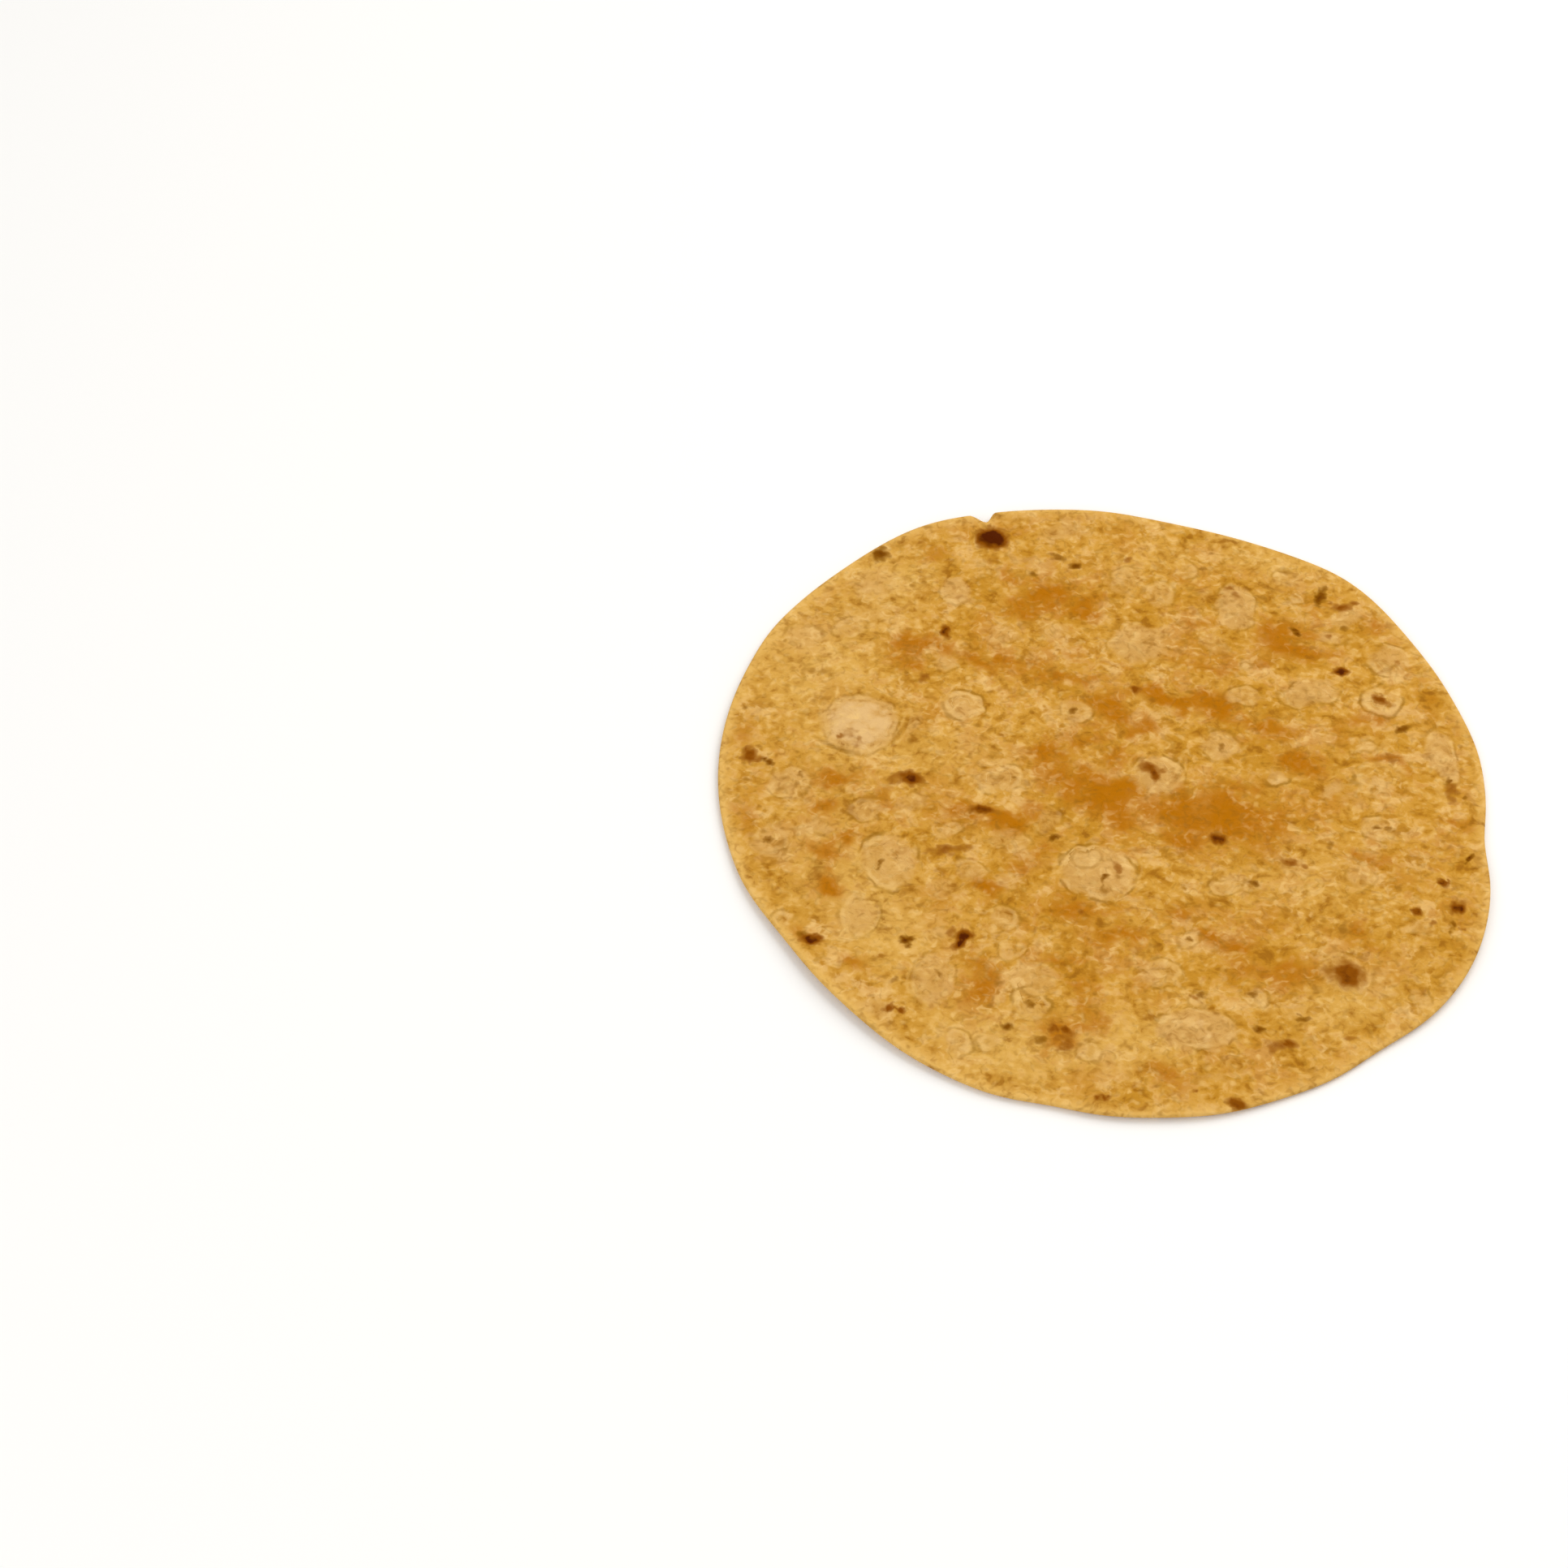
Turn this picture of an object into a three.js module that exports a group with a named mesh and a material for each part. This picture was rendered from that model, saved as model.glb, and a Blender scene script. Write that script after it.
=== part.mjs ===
// A soft wheat-flour tortilla of the 8-inch size, lying with its toasted side up.
// Millimetres, +Z up. The origin is under the middle of the outline, on the
// surface that the tortilla rests on. Angles are in degrees, counter-clockwise
// from +X.
import * as THREE from 'three';

// ---- driving dimensions ----------------------------------------------------

const MEAN_RADIUS = 99.6;
const MIDDLE_THICKNESS = 2.0;
const RIM_THICKNESS = 1.4;
// The dough thins towards the rim between these shares of the radius.
const THINNING_STARTS = 0.78;
const THINNING_ENDS = 0.98;
// Inside this share of the radius the underside lies flat on the surface. From
// there it curls up, and would level off again just outside the rim.
const FLAT_SHARE = 0.6;
const CURL_ENDS = 1.08;
// The rim is rounded: its upper and lower edges stand back from the outline.
const RIM_ROUNDING = 0.75;
// Each face is laid out in this many rings of triangles round the middle.
const RINGS = 27;

// Slow waves of the outline, left by rolling and pressing the dough ball.
const OUTLINE_WAVES = [
  { lobes: 1, reach: 1.35, crest: 39 },
  { lobes: 2, reach: 3.5, crest: -25.5 },
  { lobes: 3, reach: 0.8, crest: 38.5 },
  { lobes: 4, reach: 0.75, crest: -43 },
  { lobes: 5, reach: 1.0, crest: -33 },
];

// Short bulges and dents along the rim, with their spread in degrees.
const RIM_BULGES = [
  { at: -164, reach: 0.3, spread: 6 },
  { at: -152, reach: -0.6, spread: 7 },
  { at: -126, reach: 0.4, spread: 8 },
  { at: -101, reach: -1.3, spread: 7 },
  { at: -76, reach: 0.9, spread: 8 },
  { at: -50, reach: -1.4, spread: 7 },
  { at: -30, reach: 1.0, spread: 12 },
  { at: -9, reach: -1.7, spread: 6 },
  { at: 8, reach: 1.2, spread: 8 },
  { at: 30, reach: -0.7, spread: 8 },
  { at: 46, reach: 1.1, spread: 8 },
  { at: 86, reach: 0.7, spread: 8 },
  { at: 116, reach: 1.0, spread: 8 },
  { at: 132, reach: -0.4, spread: 7 },
  { at: 148, reach: 0.5, spread: 6 },
];

// A small pinched nick in the rim, beside the largest burnt blister. Only the
// outermost few millimetres of dough follow it.
const NICK = { at: 106.5, depth: 3.2, halfWidth: 2.2 };
const NICK_FADE = 10;

// Where the rim curls up off the surface, in slow waves.
const RIM_LIFTS = [
  { at: -142, height: 2.0, spread: 24 },
  { at: -84, height: 0.9, spread: 20 },
  { at: -26, height: 1.7, spread: 22 },
  { at: 34, height: 1.0, spread: 20 },
  { at: 98, height: 1.4, spread: 22 },
  { at: 162, height: 1.1, spread: 20 },
];

// Low blisters puffed up in the toasted face: half-widths along X and Y, and
// the rise of the crown.
const BLISTERS = [
  { x: -63.5, y: 23, halfX: 10.5, halfY: 9.8, rise: 1.3 },
  { x: 15, y: 6.5, halfX: 7, halfY: 6.5, rise: 1.0 },
  { x: 12.5, y: 50, halfX: 8.5, halfY: 7.5, rise: 0.7 },
  { x: -2.5, y: -24.5, halfX: 10, halfY: 8.5, rise: 1.0 },
  { x: 40, y: 62.5, halfX: 5.5, halfY: 8, rise: 0.6 },
  { x: -56.5, y: -21, halfX: 7.5, halfY: 8.5, rise: 0.8 },
  { x: -47.5, y: -58, halfX: 6.5, halfY: 7.5, rise: 0.8 },
  { x: 19.5, y: -71.5, halfX: 10, halfY: 6.5, rise: 0.9 },
  { x: -27, y: 5, halfX: 7, halfY: 5, rise: 0.7 },
  { x: -36, y: 29, halfX: 5.5, halfY: 5.5, rise: 0.6 },
  { x: 57.5, y: 33, halfX: 7.5, halfY: 5, rise: 0.6 },
  { x: 73, y: 5, halfX: 6.5, halfY: 5, rise: 0.6 },
  { x: 91, y: 12, halfX: 5, halfY: 9, rise: 0.6 },
  { x: 80, y: 43.5, halfX: 6.5, halfY: 5.5, rise: 0.5 },
  { x: 59, y: -55.5, halfX: 7, halfY: 6, rise: 0.7 },
  { x: -82.5, y: 4, halfX: 6, halfY: 5, rise: 0.5 },
  { x: -65, y: -38, halfX: 5.5, halfY: 6.5, rise: 0.5 },
  { x: -59, y: 71, halfX: 8, halfY: 6, rise: 0.5 },
  { x: -26, y: 87.5, halfX: 5, halfY: 5, rise: 0.8 },
  { x: -21.5, y: -64.5, halfX: 5, halfY: 5, rise: 0.5 },
];

const TOASTED_DOUGH = new THREE.MeshStandardMaterial({
  color: 0xd09843,
  roughness: 0.72,
  metalness: 0,
});

// ---- outline ---------------------------------------------------------------

const SECTORS = 6;
const RIM_STEPS = SECTORS * RINGS;

/** Signed turn from one direction to another, between -180 and 180 degrees. */
function turnBetween(from, to) {
  return THREE.MathUtils.euclideanModulo(to - from + 180, 360) - 180;
}

/** Bell curve along the rim: 1 at its own direction, fading over its spread. */
function bell(angle, { at, spread }) {
  return Math.exp(-((turnBetween(at, angle) / spread) ** 2));
}

/** Distance from the pole to the rim, without the nick. */
function outlineRadius(angle) {
  let radius = MEAN_RADIUS;
  for (const { lobes, reach, crest } of OUTLINE_WAVES) {
    radius += reach * Math.cos(THREE.MathUtils.degToRad(lobes * (angle - crest)));
  }
  for (const bulge of RIM_BULGES) {
    radius += bulge.reach * bell(angle, bulge);
  }
  return radius;
}

/** How far the nick cuts in at this direction: a V, deepest at its middle. */
function nickDepth(angle) {
  const away = Math.abs(turnBetween(NICK.at, angle));
  return NICK.depth * Math.max(0, 1 - away / NICK.halfWidth);
}

/** Point at a share of the way out from the pole, set back by some millimetres. */
function pointFromPole(share, angle, setBack) {
  const reach = share * (outlineRadius(angle) - setBack) - nickDepth(angle) * share ** NICK_FADE;
  const turn = THREE.MathUtils.degToRad(angle);
  return new THREE.Vector2(reach * Math.cos(turn), reach * Math.sin(turn));
}

/** Direction of a point on a ring; the rings start at the nick. */
function ringAngle(ring, step) {
  return NICK.at + (360 * step) / (SECTORS * ring);
}

/** Middle of the outline's bounding box, seen from the pole. */
function outlineMiddle() {
  const box = new THREE.Box2();
  for (let step = 0; step < RIM_STEPS; step++) {
    box.expandByPoint(pointFromPole(1, ringAngle(RINGS, step), 0));
  }
  return box.getCenter(new THREE.Vector2());
}

// ---- heights ---------------------------------------------------------------

/** Height of the underside: flat in the middle, curled up in waves at the rim. */
function undersideHeight(share, angle) {
  const curl = THREE.MathUtils.smoothstep(share, FLAT_SHARE, CURL_ENDS);
  return RIM_LIFTS.reduce((sum, lift) => sum + lift.height * bell(angle, lift), 0) * curl;
}

/** Thickness of the dough, thinner near the rim. */
function doughThickness(share) {
  const thinning = THREE.MathUtils.smoothstep(share, THINNING_STARTS, THINNING_ENDS);
  return THREE.MathUtils.lerp(MIDDLE_THICKNESS, RIM_THICKNESS, thinning);
}

/** Rise of the toasted face over the blisters, each a low dome with a crease at its foot. */
function blisterRise(point) {
  let rise = 0;
  for (const { x, y, halfX, halfY, rise: crown } of BLISTERS) {
    const away = ((point.x - x) / halfX) ** 2 + ((point.y - y) / halfY) ** 2;
    rise += crown * Math.max(0, 1 - away);
  }
  return rise;
}

// ---- solid -----------------------------------------------------------------

/** Lays out one face as rings round the middle; `heightAt` gives each height. */
function addFacePoints(positions, middle, heightAt) {
  for (let ring = 0; ring <= RINGS; ring++) {
    const share = ring / RINGS;
    for (let step = 0; step < Math.max(1, SECTORS * ring); step++) {
      const angle = ring === 0 ? 0 : ringAngle(ring, step);
      const point = pointFromPole(share, angle, RIM_ROUNDING).sub(middle);
      positions.push(point.x, point.y, heightAt(share, angle, point));
    }
  }
}

/** Adds the points of the outline itself, half-way up the rounded rim. */
function addOutlinePoints(positions, middle) {
  for (let step = 0; step < RIM_STEPS; step++) {
    const angle = ringAngle(RINGS, step);
    const point = pointFromPole(1, angle, 0).sub(middle);
    positions.push(point.x, point.y, undersideHeight(1, angle) + doughThickness(1) / 2);
  }
}

/** Number of points on a face inside the given ring. */
function pointsInside(ring) {
  return ring === 0 ? 0 : 1 + (SECTORS * ring * (ring - 1)) / 2;
}

/** Calls `add` with the corners of every triangle of a face, seen from above. */
function eachFaceTriangle(add) {
  for (let ring = 1; ring <= RINGS; ring++) {
    const inner = (step) => pointsInside(ring - 1) + (ring === 1 ? 0 : step % (SECTORS * (ring - 1)));
    const outer = (step) => pointsInside(ring) + (step % (SECTORS * ring));
    for (let sector = 0; sector < SECTORS; sector++) {
      for (let i = 0; i < ring; i++) {
        const out = sector * ring + i;
        const into = sector * (ring - 1) + i;
        add(outer(out), outer(out + 1), inner(into));
        if (i < ring - 1) add(inner(into), outer(out + 1), inner(into + 1));
      }
    }
  }
}

/** The whole tortilla as one closed body. */
function tortillaGeometry() {
  const positions = [];
  const middle = outlineMiddle();
  const underside = (share, angle) => undersideHeight(share, angle);
  const toastedFace = (share, angle, point) =>
    underside(share, angle) + doughThickness(share) + blisterRise(point);
  addFacePoints(positions, middle, toastedFace);
  addFacePoints(positions, middle, underside);
  addOutlinePoints(positions, middle);

  const facePoints = pointsInside(RINGS + 1);
  const triangles = [];
  eachFaceTriangle((a, b, c) => triangles.push(a, b, c));
  eachFaceTriangle((a, b, c) => triangles.push(facePoints + a, facePoints + c, facePoints + b));
  for (let step = 0; step < RIM_STEPS; step++) {
    const next = (step + 1) % RIM_STEPS;
    const [top, topNext] = [step, next].map((s) => pointsInside(RINGS) + s);
    const [low, lowNext] = [top, topNext].map((index) => facePoints + index);
    const [edge, edgeNext] = [step, next].map((s) => 2 * facePoints + s);
    triangles.push(top, edge, edgeNext, top, edgeNext, topNext);
    triangles.push(low, edgeNext, edge, low, lowNext, edgeNext);
  }

  const geometry = new THREE.BufferGeometry();
  geometry.setAttribute('position', new THREE.Float32BufferAttribute(positions, 3));
  geometry.setIndex(triangles);
  geometry.computeVertexNormals();
  return geometry;
}

const tortilla = new THREE.Mesh(tortillaGeometry(), TOASTED_DOUGH);
tortilla.name = 'tortilla';

const group = new THREE.Group();
group.add(tortilla);

export default group;
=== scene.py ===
"""Dresses one soft flour tortilla, toasted on a griddle, lying with its browned face up.

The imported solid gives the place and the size. One finer body of the same form takes its
place, with the blisters, creases, wrinkles and scorched spots of the real dough, and a
plain studio lights it. Everything that belongs to the dough is in millimetres and degrees,
and is turned to metres when the mesh or a node is made.
"""

import logging
import math
import random
from dataclasses import dataclass, replace
from enum import Enum
from typing import Any

import bpy
import numpy as np
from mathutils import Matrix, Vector, noise


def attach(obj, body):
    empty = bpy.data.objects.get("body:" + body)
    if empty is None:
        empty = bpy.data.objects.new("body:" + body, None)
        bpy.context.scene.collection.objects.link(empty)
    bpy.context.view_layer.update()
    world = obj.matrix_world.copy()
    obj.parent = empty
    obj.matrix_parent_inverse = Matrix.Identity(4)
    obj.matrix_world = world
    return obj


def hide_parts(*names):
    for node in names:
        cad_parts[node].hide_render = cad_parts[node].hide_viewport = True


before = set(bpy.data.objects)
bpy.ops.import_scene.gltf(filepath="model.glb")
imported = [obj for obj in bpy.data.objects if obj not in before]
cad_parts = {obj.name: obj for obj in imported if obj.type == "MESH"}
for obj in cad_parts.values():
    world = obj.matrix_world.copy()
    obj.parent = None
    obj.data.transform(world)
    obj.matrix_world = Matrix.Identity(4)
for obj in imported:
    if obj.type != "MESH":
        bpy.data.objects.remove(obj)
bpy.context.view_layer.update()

Array = np.ndarray
Material = bpy.types.Material
Socket = bpy.types.NodeSocket

MM = 0.001

log = logging.getLogger("tortilla")


# ---- small tools ----


def linear_from_hex(colour: str) -> tuple[float, float, float, float]:
    """Turns an sRGB hex colour into the linear colour that a shader works with.

    Args:
        colour: Six hex digits.

    Returns:
        Linear red, green and blue, with an alpha of 1.
    """
    channels = [int(colour[i : i + 2], 16) / 255 for i in (0, 2, 4)]
    linear = [c / 12.92 if c <= 0.04045 else ((c + 0.055) / 1.055) ** 2.4 for c in channels]
    return (*linear, 1.0)


def add_node(material: Material, kind: str, inputs: dict, **settings: Any) -> bpy.types.Node:
    """Adds one node to a material, with its settings, its values and its links.

    Args:
        material: The material whose node tree takes the node.
        kind: The node's type, less its first words: "TexNoise" for "ShaderNodeTexNoise".
        inputs: Its inputs, by name or index: a socket is linked, and anything else is set.
        settings: Properties of the node itself.

    Returns:
        The new node.
    """
    tree = material.node_tree
    node = tree.nodes.new("ShaderNode" + kind)
    for name, value in settings.items():
        setattr(node, name, value)
    for key, value in inputs.items():
        if isinstance(value, Socket):
            tree.links.new(value, node.inputs[key])
        else:
            node.inputs[key].default_value = value
    return node


def smooth_step(values: Array, low: float, high: float) -> Array:
    """Rises smoothly from 0 where a value is low or less to 1 where it is high or more."""
    share = np.clip((values - low) / (high - low), 0.0, 1.0)
    return share * share * (3.0 - 2.0 * share)


def turn_between(start: float, end: Array) -> Array:
    """Gives the signed turns from one direction to others, from -180 to 180 degrees."""
    return (end - start + 180.0) % 360.0 - 180.0


# ---- shapes of the dough ----

# The noise under every unevenness: how far apart two seeds read it, where seed 0 reads it,
# how many seeds further on a bend reads it for Y, how fast its layers weaken, and how much
# finer each is.
SEED_GAP = 7.3
SEED_START = 0.5
SECOND_AXIS = 50
NOISE_FALL = 1.0
NOISE_STEP = 2.0

# Points are laid out in this many equal sectors.
SECTORS = 6


@dataclass(frozen=True)
class Ripple:
    """Smooth random unevenness of the dough.

    It goes up to its reach either way, in hills of about its size. They are longer by its
    stretch along X, and its octaves are the layers of hills, each finer than the last.
    """

    reach: float
    size: float
    stretch: float = 1.0
    octaves: int = 1
    seed: int = 0

    def at(self, points: Array) -> Array:
        """Samples the unevenness.

        Args:
            points: X and Y of each point.

        Returns:
            One value for each point.
        """
        across = points[:, 0] / (self.size * self.stretch)
        along = points[:, 1] / self.size
        layer = SEED_GAP * self.seed + SEED_START
        heights = (
            noise.fractal(Vector((x, y, layer)), NOISE_FALL, NOISE_STEP, self.octaves)
            for x, y in zip(across.tolist(), along.tolist())
        )
        return self.reach * np.fromiter(heights, float, len(points))


@dataclass(frozen=True)
class Wave:
    """A slow wave of the outline: how many lobes, how far they reach, where one crests."""

    lobes: int
    reach: float
    crest: float


@dataclass(frozen=True)
class Bell:
    """A short swell at one direction along the rim, fading over its spread in degrees."""

    at: float
    reach: float
    spread: float

    def height(self, angles: Array) -> Array:
        """Gives the swell in each direction."""
        return self.reach * np.exp(-((turn_between(self.at, angles) / self.spread) ** 2))


@dataclass(frozen=True)
class Outline:
    """The rim seen from above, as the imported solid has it.

    The solid's rim has corners. This finer one would bulge out between them, and so it
    stands 0.03 mm back. The pinched nick fades inwards with a power of the radius.
    """

    mean_radius: float = 99.57
    waves: tuple[Wave, ...] = (
        Wave(1, 1.35, 39), Wave(2, 3.5, -25.5), Wave(3, 0.8, 38.5), Wave(4, 0.75, -43),
        Wave(5, 1.0, -33),
    )
    bulges: tuple[Bell, ...] = (
        Bell(-164, 0.3, 6), Bell(-152, -0.6, 7), Bell(-126, 0.4, 8), Bell(-101, -1.3, 7),
        Bell(-76, 0.9, 8), Bell(-50, -1.4, 7), Bell(-30, 1.0, 12), Bell(-9, -1.7, 6),
        Bell(8, 1.2, 8), Bell(30, -0.7, 8), Bell(46, 1.1, 8), Bell(86, 0.7, 8),
        Bell(116, 1.0, 8), Bell(132, -0.4, 7), Bell(148, 0.5, 6),
    )
    nick_at: float = 106.5
    nick_depth: float = 3.2
    nick_half_width: float = 2.2
    nick_fade: int = 10

    def radius(self, angles: Array) -> Array:
        """Works out the rim without the nick.

        Args:
            angles: Some directions.

        Returns:
            The distance from the pole to the rim in each.
        """
        radius = np.full_like(angles, self.mean_radius)
        for wave in self.waves:
            radius += wave.reach * np.cos(np.radians(wave.lobes * (angles - wave.crest)))
        return radius + sum(bulge.height(angles) for bulge in self.bulges)

    def points(self, shares: Array | float, angles: Array, set_back: float) -> Array:
        """Places points by their share of the way from the pole to the rim.

        Args:
            shares: Share of the way out of each point, or of all.
            angles: Direction of each point.
            set_back: How far the rim stands back.

        Returns:
            X and Y of each point, seen from the pole.
        """
        pinch = 1 - np.abs(turn_between(self.nick_at, angles)) / self.nick_half_width
        reach = shares * (self.radius(angles) - set_back)
        reach -= self.nick_depth * smooth_step(pinch, 0.0, 1.0) * shares**self.nick_fade
        turn = np.radians(angles)
        return np.stack([reach * np.cos(turn), reach * np.sin(turn)], axis=1)

    def middle(self, angles: Array) -> Array:
        """Gives the middle of the outline's bounding box, seen from the pole."""
        rim = self.points(1.0, angles, 0.0)
        return (rim.min(axis=0) + rim.max(axis=0)) / 2


@dataclass(frozen=True)
class RingGrid:
    """A disc laid out as rings, each starting in one direction and having SECTORS more points."""

    rings: int
    start: float

    def inside(self, ring: int) -> int:
        """Counts the points inside a ring."""
        return 0 if ring == 0 else 1 + SECTORS * ring * (ring - 1) // 2

    def shares(self) -> Array:
        """Gives each point's share of the way from the middle to the last ring."""
        rings = (np.full(SECTORS * k, k / self.rings) for k in range(1, self.rings + 1))
        return np.concatenate([[0.0], *rings])

    def angles(self) -> Array:
        """Gives each point's direction."""
        turns = (360.0 / SECTORS * np.arange(SECTORS * k) / k for k in range(1, self.rings + 1))
        return np.concatenate([[0.0], *(self.start + turn for turn in turns)])

    def triangles(self) -> Array:
        """Joins the points.

        Returns:
            Three point numbers for each triangle, counter-clockwise from above.
        """
        found = []
        for ring in range(1, self.rings + 1):
            into, out = self.inside(ring - 1), self.inside(ring)
            step, inner_count = np.arange(SECTORS * ring), max(1, SECTORS * (ring - 1))
            sector, in_sector = np.divmod(step, ring)
            outer, outer_next = out + step, out + np.roll(step, -1)
            inner = into + (step - sector) % inner_count
            inner_next = into + (step - sector + 1) % inner_count
            inward = in_sector < ring - 1
            found.append(np.stack([outer, outer_next, inner], axis=1))
            found.append(np.stack([inner, outer_next, inner_next], axis=1)[inward])
        return np.concatenate(found)


# ---- what heat does to a face ----

# The burn of a mark in its middle, and how much less it is on the edge of the oval.
BURN_MIDDLE = 1.4
BURN_FALL = 0.9
# A crown is evenly pale almost to its foot, and its skin is smoother by this share.
CROWN_POWER = 8
CROWN_SMOOTHER = 0.55
# The edge field is the distance from the nearest foot of a blister, up to this far.
EDGE_REACH = 3.0
# A ring shows where a ripple round this share lets it, up to this much.
RING_SHARE = 0.55
RING_MOST = 1.2
# How gently a dome rises from its foot, less so where the ring shows, and the groove round
# it, whose place and width are shares of the oval.
DOME_POWER = 1.7
GROOVE_DEPTH = 0.06
GROOVE_AT = 1.06
GROOVE_WIDTH = 0.07
# A crease: how far off it is felt, what is left of it at its ends, its depth, how sharply
# that falls off, and in how many steps it is followed.
CREASE_REACH = 1.6
CREASE_ENDS = 0.6
CREASE_DEPTH = 0.2
CREASE_POWER = 3
CREASE_STEPS = 25
# Scorched crust stands up a little.
CRUST_RISE = 0.12


@dataclass(frozen=True)
class Spot:
    """An oval place on a face: its middle, half its length and width, strength and turn."""

    x: float
    y: float
    half_long: float
    half_short: float
    strength: float = 1.0
    turn: float = 0.0

    def away(self, points: Array) -> Array:
        """Measures how far points are from the middle.

        Args:
            points: X and Y of each point.

        Returns:
            The distances, where 1 is on the oval's edge.
        """
        dx, dy = points[:, 0] - self.x, points[:, 1] - self.y
        cos, sin = math.cos(math.radians(self.turn)), math.sin(math.radians(self.turn))
        along, across = dx * cos + dy * sin, dy * cos - dx * sin
        return np.hypot(along / self.half_long, across / self.half_short)

    def softly(self, points: Array) -> Array:
        """Gives its share at each point, if it fades out from its middle."""
        return self.strength * np.exp(-(self.away(points) ** 2))


class Tone(Enum):
    """What heat has left of the dough in a scorched mark, as a share of olive over red."""

    CHAR = 0.15
    BROWN = 0.0
    OLIVE = 1.0


@dataclass(frozen=True)
class Mark(Spot):
    """A scorched mark, and its tone."""

    tone: Tone = Tone.BROWN


@dataclass(frozen=True)
class Blister(Spot):
    """A puffed blister: how far it rises, and how sharply the ring at its foot shows.

    Its strength is how pale its crown is.
    """

    rise: float = 0.22
    ring: float = 0.38


@dataclass(frozen=True)
class Crease:
    """A thin fold in the skin, along an arc from its start through a point to its end."""

    start: tuple[float, float]
    through: tuple[float, float]
    end: tuple[float, float]
    strength: float

    def nearness(self, points: Array) -> Array:
        """Measures how near points are to the fold.

        Args:
            points: X and Y of each point.

        Returns:
            The fold's strength on its line, less away from it and towards its ends.
        """
        a, m, b = (np.array(p, float) for p in (self.start, self.through, self.end))
        handle = 2.0 * m - 0.5 * (a + b)
        best = np.zeros(len(points))
        for t in np.linspace(0.0, 1.0, CREASE_STEPS):
            on = (1 - t) ** 2 * a + 2 * t * (1 - t) * handle + t * t * b
            near = 1.0 - np.hypot(*(points - on).T) / CREASE_REACH
            kept = CREASE_ENDS + (1.0 - CREASE_ENDS) * math.sin(math.pi * t)
            best = np.maximum(best, near * kept)
        return self.strength * best


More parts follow.
